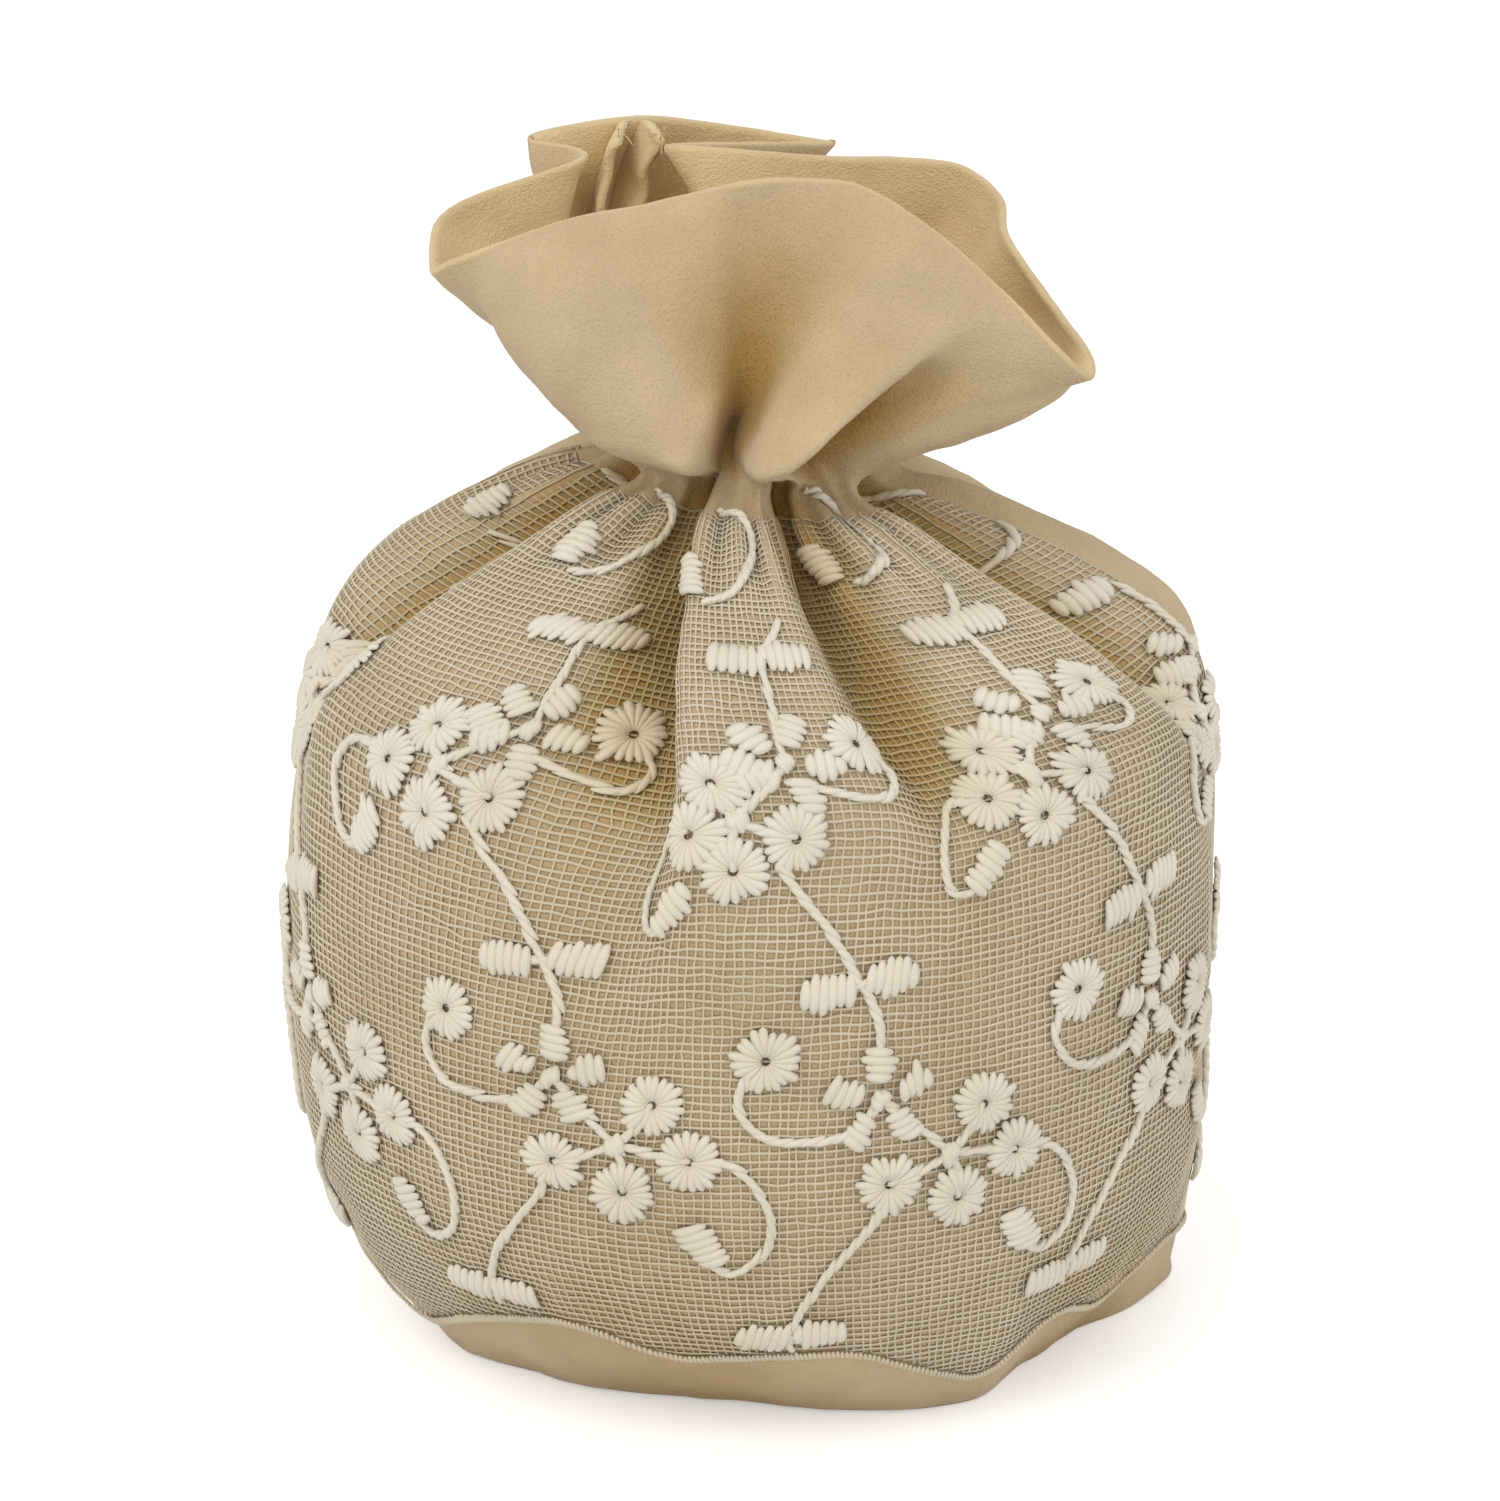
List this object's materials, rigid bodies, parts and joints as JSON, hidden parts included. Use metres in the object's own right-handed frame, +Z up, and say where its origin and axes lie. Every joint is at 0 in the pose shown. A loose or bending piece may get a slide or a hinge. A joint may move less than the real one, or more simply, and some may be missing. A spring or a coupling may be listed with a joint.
{
  "type": "kinchaku drawstring pouch",
  "caption": "Small gathered pouch of crepe with a frilled mouth, a stitched net laid over its front and a flat base to stand on.",
  "frame": {"origin": "middle of the pouch's box, on the floor it stands on", "axes": "+Z up, from the base to the frill; the net's front faces -Y"},
  "size_m": [0.1238, 0.114, 0.1564],
  "materials": {
    "crepe": "matte",
    "net": "matte",
    "thread": "satin",
    "elastic": "matte"
  },
  "bodies": {
    "root": {"crepe_bag": "crepe", "neck_elastic": "elastic", "net_overlay": "net", "vine_1": "thread", "vine_1_curl": "thread", "vine_2": "thread", "vine_2_curl": "thread", "vine_3": "thread", "vine_3_curl": "thread", "vine_4": "thread", "vine_4_curl": "thread", "vine_5": "thread", "vine_5_curl": "thread", "vine_6": "thread", "vine_6_curl": "thread"}
  },
  "joints": []
}
